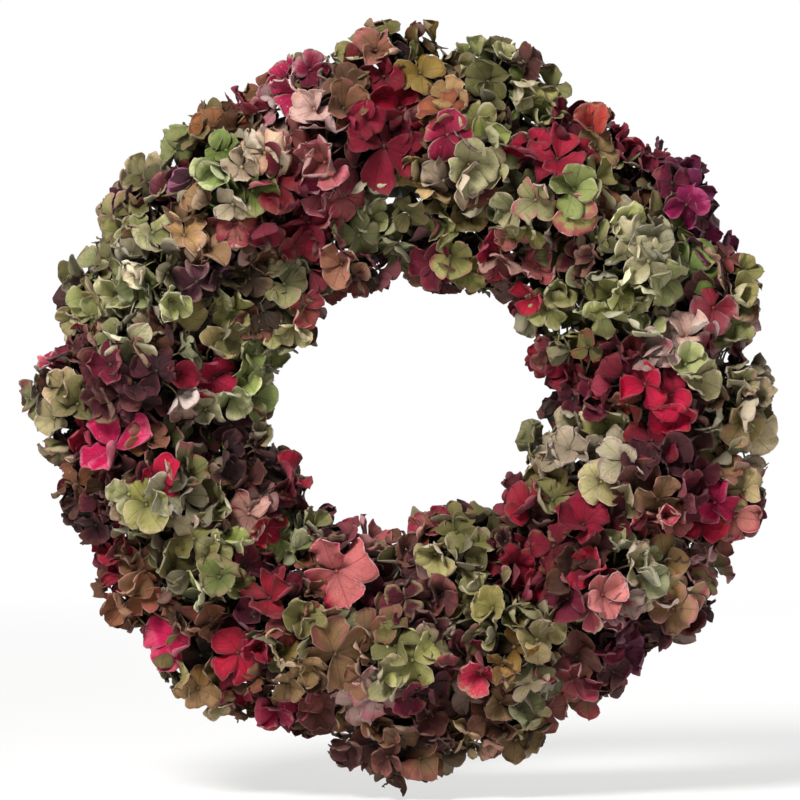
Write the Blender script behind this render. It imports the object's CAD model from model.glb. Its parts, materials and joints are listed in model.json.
import json
import math

import bpy
import numpy as np
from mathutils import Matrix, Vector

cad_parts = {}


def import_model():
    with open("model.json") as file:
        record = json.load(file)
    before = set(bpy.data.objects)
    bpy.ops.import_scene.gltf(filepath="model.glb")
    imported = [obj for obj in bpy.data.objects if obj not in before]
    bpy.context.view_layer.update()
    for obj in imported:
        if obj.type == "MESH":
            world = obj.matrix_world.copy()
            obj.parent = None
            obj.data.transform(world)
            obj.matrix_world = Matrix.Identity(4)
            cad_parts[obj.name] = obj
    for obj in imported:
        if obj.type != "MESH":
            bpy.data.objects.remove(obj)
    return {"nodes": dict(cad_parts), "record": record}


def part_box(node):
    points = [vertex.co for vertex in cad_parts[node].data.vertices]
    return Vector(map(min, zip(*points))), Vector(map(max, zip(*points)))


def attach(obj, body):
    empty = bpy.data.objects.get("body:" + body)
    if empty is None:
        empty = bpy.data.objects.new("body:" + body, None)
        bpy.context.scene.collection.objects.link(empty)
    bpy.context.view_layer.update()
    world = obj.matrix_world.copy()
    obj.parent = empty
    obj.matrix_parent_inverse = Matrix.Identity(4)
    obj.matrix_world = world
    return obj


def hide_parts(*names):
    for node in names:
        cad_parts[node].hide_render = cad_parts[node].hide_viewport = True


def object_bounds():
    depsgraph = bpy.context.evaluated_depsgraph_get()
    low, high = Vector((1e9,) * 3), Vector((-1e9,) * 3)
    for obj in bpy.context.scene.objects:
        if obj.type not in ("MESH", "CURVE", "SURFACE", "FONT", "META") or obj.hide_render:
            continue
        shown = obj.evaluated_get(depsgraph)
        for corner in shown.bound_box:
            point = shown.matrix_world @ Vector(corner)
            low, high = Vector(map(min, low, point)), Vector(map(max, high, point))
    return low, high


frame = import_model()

# ---------------------------------------------------------------------------
# Frame. Metres, +Z up, the wreath faces -Y. Flower layouts are worked out in
# millimetres with the wreath lying on its back: x, y across the ring, h in
# front of the flat back. world() turns that into the CAD's frame.
# ---------------------------------------------------------------------------
CAD_BOX = [[float(c) for c in v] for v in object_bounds()]
BACK = CAD_BOX[1][1]
RNG = np.random.default_rng(90417)

_core_lo, _core_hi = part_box("straw_core")
STRAW_R = 24.0
RING_R = _core_hi[0] * 1000.0 - STRAW_R
TUBE_H = 14.0
MOSS_R = 30.0


def world(p):
    """Lying millimetres to the CAD's frame in metres."""
    p = np.asarray(p, dtype=float)
    return np.stack([p[..., 0], BACK * 1000.0 - p[..., 2], p[..., 1]], axis=-1) / 1000.0


def unit(v, axis=-1):
    return v / np.maximum(np.linalg.norm(v, axis=axis, keepdims=True), 1e-9)


def smooth(a, b, x):
    t = np.clip((x - a) / (b - a), 0.0, 1.0)
    return t * t * (3 - 2 * t)


# ---------------------------------------------------------------------------
# Colours. Each palette is the middle of a sepal, its edge, its veins and its
# underside, as sRGB 0..255.
# ---------------------------------------------------------------------------
PALETTES = {
    "crimson": ((172, 18, 64), (134, 14, 48), (94, 8, 32), (166, 78, 96)),
    "deepred": ((132, 12, 50), (98, 8, 36), (64, 4, 20), (134, 52, 70)),
    "rosecrimson": ((174, 40, 76), (194, 88, 112), (114, 18, 50), (188, 118, 128)),
    "burgundy": ((92, 24, 42), (116, 44, 58), (46, 9, 20), (124, 74, 78)),
    "darkburg": ((54, 18, 26), (78, 36, 42), (28, 7, 12), (94, 62, 60)),
    "plum": ((88, 30, 56), (122, 58, 84), (48, 13, 30), (130, 92, 102)),
    "magenta": ((132, 28, 76), (172, 70, 116), (84, 14, 48), (170, 118, 136)),
    "hotpink": ((198, 70, 102), (228, 150, 160), (154, 32, 64), (226, 186, 184)),
    "pinkcoral": ((206, 104, 118), (232, 168, 178), (180, 40, 62), (228, 190, 190)),
    "coral": ((196, 112, 110), (212, 72, 104), (146, 56, 66), (226, 176, 170)),
    "dustyrose": ((158, 102, 94), (152, 52, 76), (112, 54, 58), (194, 154, 140)),
    "mauvepink": ((168, 100, 108), (190, 126, 134), (120, 54, 66), (196, 156, 154)),
    "mauve": ((92, 52, 56), (112, 74, 74), (58, 28, 32), (128, 100, 94)),
    "brownrose": ((124, 90, 70), (150, 88, 86), (86, 50, 44), (168, 138, 112)),
    "brownplum": ((92, 54, 50), (118, 78, 66), (58, 30, 30), (132, 100, 88)),
    "dustybrown": ((134, 104, 80), (154, 96, 92), (90, 60, 48), (174, 146, 118)),
    "darkbrown": ((76, 54, 42), (100, 76, 56), (46, 28, 22), (112, 90, 70)),
    "rust": ((122, 82, 60), (94, 56, 44), (78, 46, 34), (152, 116, 88)),
    "terracotta": ((164, 112, 92), (146, 76, 72), (112, 64, 54), (188, 148, 126)),
    "tan": ((158, 128, 90), (142, 92, 78), (110, 82, 56), (190, 164, 128)),
    "mustard": ((152, 124, 70), (118, 90, 48), (104, 80, 40), (174, 152, 104)),
    "goldstar": ((156, 124, 74), (118, 86, 50), (96, 68, 36), (176, 150, 102)),
    "olive": ((128, 124, 72), (148, 136, 92), (86, 86, 44), (164, 158, 122)),
    "olivegreen": ((118, 124, 60), (148, 148, 86), (80, 86, 36), (158, 158, 108)),
    "olivecream": ((166, 158, 112), (198, 172, 146), (116, 110, 66), (194, 184, 152)),
    "yellowgreen": ((166, 168, 96), (198, 192, 138), (120, 124, 62), (190, 188, 144)),
    "leafgreen": ((136, 152, 74), (188, 190, 126), (96, 112, 48), (178, 182, 130)),
    "palegreen": ((166, 174, 112), (204, 204, 156), (124, 134, 76), (194, 194, 156)),
    "palegreenpink": ((164, 166, 104), (198, 120, 118), (122, 112, 70), (194, 184, 148)),
    "greenpink": ((146, 152, 92), (188, 92, 104), (104, 98, 58), (180, 168, 140)),
    "greygreen": ((140, 143, 98), (176, 170, 130), (98, 100, 60), (182, 178, 142)),
    "greygreenpink": ((144, 142, 98), (188, 108, 112), (102, 90, 60), (184, 170, 142)),
    "greencream": ((186, 184, 140), (216, 206, 176), (140, 136, 94), (210, 202, 174)),
    "greycream": ((184, 178, 138), (208, 200, 166), (134, 126, 90), (206, 198, 166)),
    "cream": ((208, 196, 160), (228, 216, 188), (162, 146, 106), (222, 210, 184)),
    "creampeach": ((214, 180, 154), (226, 160, 140), (168, 124, 100), (224, 200, 178)),
    "creampink": ((208, 182, 166), (206, 130, 138), (162, 110, 104), (220, 200, 186)),
}


def linear(rgb):
    c = np.asarray(rgb, dtype=float) / 255.0
    return np.where(c <= 0.04045, c / 12.92, ((c + 0.055) / 1.055) ** 2.4)


PAL_NAMES = list(PALETTES)
PAL = np.array([[linear(c) for c in PALETTES[n]] for n in PAL_NAMES])
_grey = (PAL @ np.array([0.2126, 0.7152, 0.0722]))[..., None]
_strong = ("crimson", "deepred", "rosecrimson", "burgundy", "darkburg", "plum", "magenta", "hotpink", "pinkcoral", "coral")
_straw = np.array(["green" in n or "cream" in n or "olive" in n for n in PAL_NAMES])
_boost = np.array([1.24 if n in _strong else 1.18 for n in PAL_NAMES])
_boost[np.array([n in ("hotpink", "magenta", "pinkcoral", "coral") for n in PAL_NAMES])] = 1.02
_boost[np.array([n in ("mustard", "goldstar", "tan", "terracotta") for n in PAL_NAMES])] = 1.06
_boost[_straw] = 0.97
_boost[np.array([n in ("yellowgreen", "leafgreen") for n in PAL_NAMES])] = 0.9
_boost = np.stack([_boost, _boost, _boost, _boost * 0.8], axis=1)[..., None]
PAL = np.clip(_grey + (PAL - _grey) * _boost, 0.002, 0.9)
PAL[np.array([n in _strong for n in PAL_NAMES])] *= 0.88
# the dried greens lean towards straw
PAL[_straw] *= np.array([1.035, 0.965, 0.97])

# Where each colour lies on the front, in millimetres across and up from the
# middle, with the size of the florets there.
ZONES = [
    (-31, 204, "olive", 0.9), (-39, 193, "greygreen", 0.9), (-16, 197, "brownrose", 0.85), (-81, 176, "brownrose", 0.9), (-90, 168, "crimson", 0.95), (-50, 165, "creampink", 1),
    (-60, 172, "hotpink", 1), (-31, 165, "brownrose", 1.1), (0, 161, "crimson", 1.75), (-7, 140, "deepred", 1.45), (-42, 130, "coral", 1.35), (-67, 120, "deepred", 1.2),
    (-53, 100, "deepred", 1.2), (-73, 140, "creampeach", 0.95), (-100, 130, "leafgreen", 1.25), (-88, 130, "cream", 0.9), (-115, 148, "olive", 0.95), (-105, 156, "rust", 0.9),
    (-132, 140, "palegreen", 1), (-146, 134, "greygreen", 0.9), (-122, 119, "magenta", 1), (-165, 104, "palegreenpink", 1), (-139, 96, "palegreen", 1.05), (-118, 94, "tan", 1),
    (-92, 94, "dustyrose", 1), (-102, 84, "tan", 0.9), (-157, 60, "palegreen", 1.15), (-144, 74, "greycream", 1), (-110, 64, "plum", 0.95), (-96, 49, "yellowgreen", 1),
    (-119, 42, "yellowgreen", 1), (-128, 52, "palegreen", 1), (-77, 81, "rust", 0.95), (-85, 70, "darkbrown", 0.9), (-14, 104, "palegreen", 1), (-21, 92, "greygreen", 1),
    (-32, 73, "terracotta", 1), (-62, 66, "greygreen", 1), (-50, 50, "dustyrose", 0.95), (-56, 39, "greygreen", 0.9), (-3, 66, "burgundy", 0.95), (17, 73, "burgundy", 0.9),
    (42, 197, "leafgreen", 1), (59, 196, "yellowgreen", 0.9), (74, 193, "brownplum", 0.9), (28, 172, "tan", 1), (14, 182, "mustard", 0.95), (22, 162, "rust", 0.95),
    (48, 179, "olive", 0.95), (66, 176, "palegreen", 0.9), (84, 176, "yellowgreen", 0.9), (80, 157, "leafgreen", 0.95), (108, 154, "crimson", 1.05), (25, 147, "hotpink", 1),
    (52, 144, "leafgreen", 1), (44, 157, "olive", 0.95), (87, 134, "deepred", 1.3), (72, 139, "crimson", 1.1), (112, 140, "tan", 0.9), (123, 143, "crimson", 1),
    (112, 122, "olive", 0.95), (140, 148, "burgundy", 0.7), (150, 140, "plum", 0.68), (161, 132, "plum", 0.7), (152, 123, "burgundy", 0.7), (168, 120, "plum", 0.72),
    (134, 134, "burgundy", 0.75), (162, 109, "magenta", 0.85), (176, 92, "magenta", 0.9), (171, 101, "plum", 0.8), (39, 128, "greycream", 1), (56, 126, "palegreen", 1),
    (34, 115, "cream", 0.9), (73, 109, "greygreenpink", 1), (59, 104, "greygreen", 0.95), (14, 113, "mustard", 0.9), (25, 98, "olive", 0.9), (98, 116, "leafgreen", 1),
    (98, 100, "greenpink", 1), (115, 106, "brownrose", 0.9), (126, 104, "palegreen", 1.05), (130, 92, "greycream", 1), (146, 106, "olive", 0.9), (160, 76, "leafgreen", 1.25),
    (150, 64, "palegreen", 1.15), (139, 77, "greycream", 1), (128, 62, "palegreen", 1), (115, 56, "olivegreen", 0.95), (56, 77, "dustyrose", 0.95), (49, 87, "crimson", 0.85),
    (39, 68, "olivegreen", 0.95), (27, 78, "greenpink", 0.9), (11, 70, "brownplum", 0.9), (67, 92, "olivegreen", 0.95), (81, 48, "yellowgreen", 1), (70, 56, "crimson", 0.85),
    (109, 44, "yellowgreen", 1.05), (98, 34, "olivegreen", 1), (90, 16, "deepred", 0.95), (81, 25, "crimson", 0.85), (148, 35, "creampink", 1.05), (134, 39, "palegreen", 1),
    (175, 50, "pinkcoral", 1.15), (162, 39, "creampink", 1), (182, 74, "brownrose", 1), (190, 62, "olive", 0.9), (199, 76, "olive", 0.85), (188, 87, "dustyrose", 0.85),
    (160, 20, "palegreen", 1), (168, 11, "greencream", 1), (190, 10, "palegreenpink", 1), (203, 3, "olive", 0.85), (190, -6, "greencream", 0.95), (134, 7, "crimson", 1.05),
    (120, 14, "deepred", 1), (112, 6, "crimson", 0.9), (151, 0, "crimson", 0.95), (-176, 34, "dustyrose", 0.9), (-162, 20, "burgundy", 0.95), (-174, 45, "palegreen", 0.9),
    (-168, 56, "olive", 0.85), (-203, 27, "hotpink", 0.62), (-207, 0, "palegreenpink", 0.8), (-189, 8, "olivecream", 0.95), (-196, -12, "olivecream", 0.95), (-180, -3, "olive", 0.95),
    (-190, -28, "palegreenpink", 0.9), (-149, 35, "greycream", 1), (-140, 28, "brownrose", 0.95), (-104, 15, "crimson", 0.95), (-83, 16, "leafgreen", 1), (-92, 3, "palegreen", 1),
    (-77, 3, "leafgreen", 0.9), (-119, 0, "creampink", 0.95), (-109, -6, "greencream", 0.95), (-132, 16, "darkburg", 0.95), (-146, 8, "darkburg", 0.95), (-157, 0, "burgundy", 1),
    (-160, -25, "rosecrimson", 1.35), (-174, -22, "crimson", 1), (-140, -17, "brownrose", 1), (-120, -32, "greenpink", 1.05), (-129, -45, "crimson", 0.9), (-84, -28, "burgundy", 0.95),
    (-77, -22, "greencream", 0.85), (-92, -17, "darkburg", 0.95), (-56, -40, "deepred", 1), (-64, -32, "darkburg", 0.9), (-50, -53, "burgundy", 0.85), (-184, -46, "rust", 0.9),
    (-171, -56, "burgundy", 0.9), (-172, -73, "darkburg", 0.9), (-162, -84, "crimson", 0.85), (-152, -53, "palegreen", 1), (-140, -60, "yellowgreen", 1.1), (-129, -53, "greencream", 1),
    (-115, -73, "olive", 1.05), (-104, -59, "palegreenpink", 1.05), (-84, -64, "creampink", 1.05), (-90, -78, "leafgreen", 1), (-143, -94, "brownrose", 1.15), (-129, -90, "olive", 0.95),
    (-64, -81, "leafgreen", 0.95), (-73, -73, "crimson", 0.85), (-35, -95, "coral", 1.35), (-50, -90, "terracotta", 0.95), (-109, -106, "palegreen", 1), (-98, -98, "leafgreen", 0.95),
    (-73, -108, "deepred", 1.3), (-84, -118, "burgundy", 1), (-157, -118, "rust", 0.95), (-148, -109, "brownrose", 0.95), (-128, -132, "rosecrimson", 1.25), (-140, -140, "tan", 0.9),
    (-92, -141, "crimson", 1.2), (-106, -129, "brownrose", 1), (-70, -140, "olive", 1), (-81, -157, "rust", 0.9), (-34, -141, "dustybrown", 1.35), (-48, -134, "greygreen", 0.95),
    (-115, -165, "tan", 0.95), (-126, -157, "olive", 0.9), (-104, -175, "olivecream", 0.8), (-73, -175, "rosecrimson", 1), (-62, -162, "tan", 0.95), (-84, -179, "crimson", 0.85),
    (-31, -176, "tan", 0.95), (-42, -162, "dustyrose", 0.95), (-16, -168, "creampink", 1), (-25, -157, "brownrose", 0.95), (-8, -202, "brownplum", 0.95), (0, -188, "dustybrown", 1),
    (14, -64, "dustyrose", 0.95), (31, -70, "olive", 1), (39, -78, "yellowgreen", 0.95), (17, -84, "yellowgreen", 0.95), (8, -73, "terracotta", 0.9), (35, -91, "olive", 1),
    (14, -96, "mauve", 1), (22, -109, "mauve", 0.95), (0, -112, "burgundy", 0.95), (-14, -106, "burgundy", 0.9), (67, -59, "crimson", 1), (56, -73, "burgundy", 0.9),
    (67, -94, "crimson", 1.3), (81, -78, "deepred", 1.1), (101, -67, "deepred", 1.2), (106, -95, "crimson", 1.25), (90, -112, "burgundy", 1), (84, -54, "olive", 0.95),
    (73, -27, "olivegreen", 1.05), (81, -39, "olive", 1), (108, -24, "cream", 1.15), (90, -34, "cream", 1.15), (120, -31, "greencream", 1.1), (106, -45, "olivecream", 1.1),
    (115, -14, "olive", 1), (98, -11, "greygreen", 0.95), (106, 0, "burgundy", 0.9), (140, -18, "deepred", 1.1), (154, -10, "crimson", 1.1), (162, -18, "burgundy", 1),
    (132, -31, "darkburg", 1), (171, -24, "greencream", 1.05), (179, -31, "tan", 0.95), (202, -22, "greencream", 0.95), (193, -14, "olive", 0.9), (196, -49, "olivecream", 0.9),
    (188, -39, "brownrose", 0.95), (176, -57, "rosecrimson", 1.05), (190, -67, "dustyrose", 0.95), (168, -70, "crimson", 1), (157, -50, "burgundy", 0.95), (143, -56, "brownrose", 1),
    (146, -67, "dustyrose", 0.95), (168, -85, "mauvepink", 1.05), (182, -81, "dustyrose", 0.95), (140, -98, "greencream", 1), (132, -90, "palegreen", 0.9), (148, -87, "tan", 0.95),
    (162, -108, "palegreenpink", 1.05), (154, -118, "tan", 0.95), (143, -112, "creampink", 0.95), (105, -119, "hotpink", 0.95), (112, -109, "coral", 0.9), (42, -102, "yellowgreen", 0.95),
    (50, -112, "olive", 0.95), (64, -137, "goldstar", 1.15), (85, -123, "olive", 0.95), (78, -132, "olive", 0.9), (8, -143, "yellowgreen", 1.1), (22, -134, "olivecream", 1),
    (-3, -134, "olive", 0.95), (42, -155, "rosecrimson", 1), (35, -166, "creampink", 0.95), (25, -148, "burgundy", 0.9), (112, -137, "burgundy", 0.95), (129, -143, "plum", 0.9),
    (146, -134, "darkburg", 0.9), (123, -154, "darkburg", 0.85), (98, -143, "brownplum", 0.95), (95, -160, "coral", 1.1), (87, -174, "dustyrose", 0.9), (106, -171, "brownrose", 0.85),
    (73, -162, "greencream", 0.95), (56, -168, "tan", 0.95), (78, -182, "olivecream", 0.85), (34, -188, "tan", 1.05), (45, -193, "brownrose", 0.95), (14, -204, "dustybrown", 0.95),
    (22, -213, "rust", 0.8), (36, -204, "olivecream", 0.8), (6, -168, "burgundy", 0.95), (17, -176, "brownplum", 0.95), (-8, -154, "greygreen", 0.9), (-53, -118, "olive", 0.95),
    (-39, -118, "brownrose", 0.95), (-22, -126, "tan", 0.95), (-62, -123, "burgundy", 0.9), (-70, -95, "darkburg", 0.9),
]

ZX = np.array([z[0] for z in ZONES], dtype=float)
ZZ = np.array([z[1] for z in ZONES], dtype=float)
ZP = np.array([PAL_NAMES.index(z[2]) for z in ZONES])
ZS = np.array([z[3] for z in ZONES], dtype=float)

# ---------------------------------------------------------------------------
# Flower heads, from the CAD nodes they stand for.
# ---------------------------------------------------------------------------
OUTER_DOME, CROWN_DOME, INNER_DOME = 33.0, 36.0, 34.0
COS15 = math.cos(math.radians(15))
SIN15 = math.sin(math.radians(15))

heads = []
for node, ob in sorted(frame["nodes"].items()):
    kind = node.split("_")[0]
    if kind not in ("outer", "crown", "inner") or "_bloom_" not in node:
        continue
    co = np.empty(len(ob.data.vertices) * 3)
    ob.data.vertices.foreach_get("co", co)
    co = co.reshape(-1, 3) * 1000.0
    r = np.hypot(co[:, 0], co[:, 2])
    at = math.atan2(co[:, 2].min() + co[:, 2].max(), co[:, 0].min() + co[:, 0].max())
    if kind == "outer":
        dome = OUTER_DOME
        mid = (r.max() - RING_R - dome) / COS15
        across, high = RING_R + mid * COS15, TUBE_H + mid * SIN15
    elif kind == "crown":
        dome = CROWN_DOME
        top = BACK * 1000.0 - co[:, 1].min()
        across, high = RING_R, top - dome
    else:
        dome = INNER_DOME
        mid = (RING_R - dome - r.min()) / COS15
        across, high = RING_R - mid * COS15, TUBE_H + mid * SIN15
    heads.append(
        dict(
            node=node,
            kind=kind,
            at=at,
            centre=np.array([across * math.cos(at), across * math.sin(at), high]),
            dome=dome,
            root=np.array([RING_R * math.cos(at), RING_R * math.sin(at), TUBE_H]),
            slot=next(
                s["material_slot"]
                for s in frame["record"]["subparts"]
                if s["node"] == node
            ),
        )
    )
HC = np.array([h["centre"] for h in heads])
HD = np.array([h["dome"] for h in heads])
HAT = np.array([h["at"] for h in heads])


def under_surface(p):
    """How far points lie under the surface of the flower heads."""
    q = np.asarray(p, dtype=np.float32)
    best = np.full(q.shape[:-1], -99.0, dtype=np.float32)
    for g in range(len(heads)):
        best = np.maximum(best, HD[g] - np.sqrt(((q - HC[g].astype(np.float32)) ** 2).sum(axis=-1)))
    return best


def tube_distance(p):
    return np.hypot(np.hypot(p[..., 0], p[..., 1]) - RING_R, p[..., 2] - TUBE_H)


# ---------------------------------------------------------------------------
# Where the florets sit: first one on every colour zone, then as many more as
# fit between them, then a deeper layer that closes the gaps.
# ---------------------------------------------------------------------------
FRONT = np.array([0.0, 0.0, 1.0])
TUCK = 8.0  # a floret's middle lies this far under the surface its sepals reach


def near_hanger(p, reach):
    return (
        (np.abs(p[..., 0]) < 17 + reach * 0.62)
        & (p[..., 1] > 168)
        & (p[..., 2] < 11 + reach * 0.55)
    )


fl_p, fl_n, fl_head, fl_size, fl_pal, fl_layer = [], [], [], [], [], []


def put(p, n, head, size, pal, layer):
    fl_p.append(p)
    fl_n.append(n)
    fl_head.append(head)
    fl_size.append(size)
    fl_pal.append(pal)
    fl_layer.append(layer)


for k in range(len(ZONES)):
    q = np.array([ZX[k], ZZ[k]])
    d = np.hypot(HC[:, 0] - q[0], HC[:, 1] - q[1])
    inside = d < HD - 1.5
    if inside.any():
        hgt = np.where(inside, HC[:, 2] + np.sqrt(np.maximum(HD**2 - d**2, 0)), -99)
        g = int(np.argmax(hgt))
        surf = np.array([q[0], q[1], hgt[g]])
    else:
        g = int(np.argmin(d - HD))
        way = unit(np.array([q[0] - HC[g, 0], q[1] - HC[g, 1]]))
        flat = way * HD[g] * 0.97
        surf = HC[g] + np.array([flat[0], flat[1], HD[g] * 0.243])
    n = unit(surf - HC[g])
    tuck = TUCK * (0.55 + 0.45 * ZS[k]) - 2.0 if ZS[k] < 1.2 else 3.0
    p = surf - n * tuck
    n = unit(n + 0.45 * FRONT)
    if near_hanger(p, 20):
        continue
    put(p, n, g, ZS[k], ZP[k], 0)


ANCHORS = np.array(fl_p)
ANCHOR_ROOM = 10.5 * np.array(fl_size)


def pick_palette(p):
    d = np.hypot(ZX - p[0], ZZ - p[1]) + 3.0
    near = np.argsort(d)[:4]
    w = ZS[near] ** 1.6 / d[near] ** 2.4
    j = near[RNG.choice(4, p=w / w.sum())]
    return int(ZP[j]), float(0.35 + 0.65 * min(ZS[j], 1.15))


def throw(layer, shrink, spacing, tries, lean):
    cands = []
    for g, h in enumerate(heads):
        u = unit(RNG.normal(size=(tries, 3)))
        p = h["centre"] + u * (h["dome"] - shrink)
        turn = np.arctan2(p[:, 1], p[:, 0]) - h["at"]
        turn = np.abs((turn + math.pi) % (2 * math.pi) - math.pi)
        span = {"outer": 9.0, "crown": 12.0, "inner": 18.0}[h["kind"]]
        ok = turn < math.radians(span + 1.5)
        d = np.linalg.norm(p[:, None, :] - HC[None, :, :], axis=2) - (HD - shrink)[None, :]
        d[:, g] = 99
        ok &= d.min(axis=1) > -4.0
        ok &= tube_distance(p) > MOSS_R + 3.0
        ok &= p[:, 2] > (9.0 if h["kind"] == "outer" else 8.0)
        ok &= ~near_hanger(p, 20)
        for a, b in zip(p[ok], u[ok]):
            cands.append((g, a, b))
    order = RNG.permutation(len(cands))
    pts = [np.asarray(q) for q, l in zip(fl_p, fl_layer) if l <= layer] or [np.full(3, 1e6)]
    buf = np.empty((len(pts) + len(cands), 3))
    buf[: len(pts)] = pts
    count = len(pts)
    for o in order:
        g, a, b = cands[o]
        pal, size = pick_palette((a[0], a[1]))
        gap = spacing * (0.45 + 0.55 * size)
        if ((buf[:count] - a) ** 2).sum(axis=1).min() < gap * gap:
            continue
        # the large florets stay uncovered
        if layer == 1 and (np.linalg.norm(ANCHORS - a, axis=1) < ANCHOR_ROOM).any():
            continue
        buf[count] = a
        count += 1
        n = unit(b + lean * FRONT)
        p = a + b * RNG.uniform(-4.0, 1.5)
        if layer == 1 and RNG.uniform() < 0.22:
            # an understory of old dark florets between the bright ones
            p = p - b * 2.5
            pal = PAL_NAMES.index(str(RNG.choice(["darkburg", "darkbrown", "brownplum", "burgundy"])))
        put(p, n, g, size * RNG.uniform(0.86, 1.1), pal, layer)


# the valleys between the inner heads are filled from both sides
_inner = [g for g, h in enumerate(heads) if h["kind"] == "inner"]
for k in range(len(_inner)):
    seam = math.radians(90 - 36 * k)
    for r0, h0 in ((101, 50), (90, 42), (82, 30), (86, 17), (97, 33), (108, 56), (94, 24), (88, 36)):
        side = RNG.choice([-1.0, 1.0])
        a = seam + side * RNG.uniform(0.01, 0.045)
        r1, h1 = r0 + RNG.uniform(-4, 4), h0 + RNG.uniform(-4, 4)
        q = np.array([r1 * math.cos(a), r1 * math.sin(a), h1])
        turn = [abs((heads[g]["at"] - a + math.pi) % (2 * math.pi) - math.pi) for g in _inner]
        g = _inner[int(np.argmin(turn))]
        if np.linalg.norm(np.array(fl_p) - q, axis=1).min() < 7.0:
            continue
        out = unit(np.array([(r1 - RING_R) * math.cos(a), (r1 - RING_R) * math.sin(a), h1 - TUBE_H]))
        pal, size = pick_palette((q[0], q[1]))
        put(q, unit(out + 0.3 * FRONT), g, size * 0.95, pal, 1)

# and so are the valleys between the outer heads, from the front round to the side
_outer = sorted((g for g, h in enumerate(heads) if h["kind"] == "outer"), key=lambda g: heads[g]["at"] % (2 * math.pi))
for k, g in enumerate(_outer):
    a0 = heads[g]["at"] % (2 * math.pi)
    gap = (heads[_outer[(k + 1) % len(_outer)]]["at"] - a0) % (2 * math.pi)
    for h0 in (15, 27, 39, 50):
        a = a0 + gap * RNG.uniform(0.38, 0.62)
        h1 = h0 + RNG.uniform(-4, 4)
        reach = np.linspace(170, 222, 105)
        line = np.stack([reach * math.cos(a), reach * math.sin(a), np.full(105, h1)], axis=1)
        inside = np.nonzero(under_surface(line) > 0.0)[0]
        if not len(inside):
            continue
        r1 = reach[inside[-1]] + RNG.uniform(-5.0, -1.0)
        q = np.array([r1 * math.cos(a), r1 * math.sin(a), h1])
        if near_hanger(q, 20) or np.linalg.norm(np.array(fl_p) - q, axis=1).min() < 8.0:
            continue
        owner = g if RNG.uniform() < 0.5 else _outer[(k + 1) % len(_outer)]
        out = unit(np.array([math.cos(a), math.sin(a), (h1 - 24.0) / 60.0]))
        pal, size = pick_palette((q[0], q[1]))
        put(q, unit(out + 0.25 * FRONT), owner, size, pal, 1)

throw(1, 7.6, 10.7, 700, 0.20)
outer_count = len(fl_p)
throw(2, 18.0, 11.0, 420, 0.15)

# no sight lines straight through: a small floret closes each one
_gx, _gy = np.meshgrid(np.arange(-212.0, 213.0, 3.0), np.arange(-212.0, 213.0, 3.0))
for x0, y0 in zip(_gx.ravel(), _gy.ravel()):
    r1 = math.hypot(x0, y0)
    if abs(r1 - RING_R) < MOSS_R - 2.0:
        continue
    d = np.hypot(HC[:, 0] - x0, HC[:, 1] - y0)
    if (HD - d).max() < 7.0:
        continue
    if np.hypot(np.array(fl_p)[:, 0] - x0, np.array(fl_p)[:, 1] - y0).min() < 8.5:
        continue
    g = int(np.argmax(HD - d))
    q = np.array([x0, y0, float(HC[g, 2]) * 0.8])
    if near_hanger(q, 20):
        continue
    pal, size = pick_palette((q[0], q[1]))
    put(q, unit(FRONT + 0.3 * unit(np.array([x0, y0, 0.0])) * (1 if r1 > RING_R else -1)), g, max(size, 0.75), pal, 2)
print("closers", len(fl_p) - outer_count)

fl_p = np.array(fl_p)
fl_n = np.array(fl_n)
fl_head = np.array(fl_head)
fl_size = np.array(fl_size)
fl_pal = np.array(fl_pal)
fl_layer = np.array(fl_layer)
print("florets", outer_count, "deep", len(fl_p) - outer_count)


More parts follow.
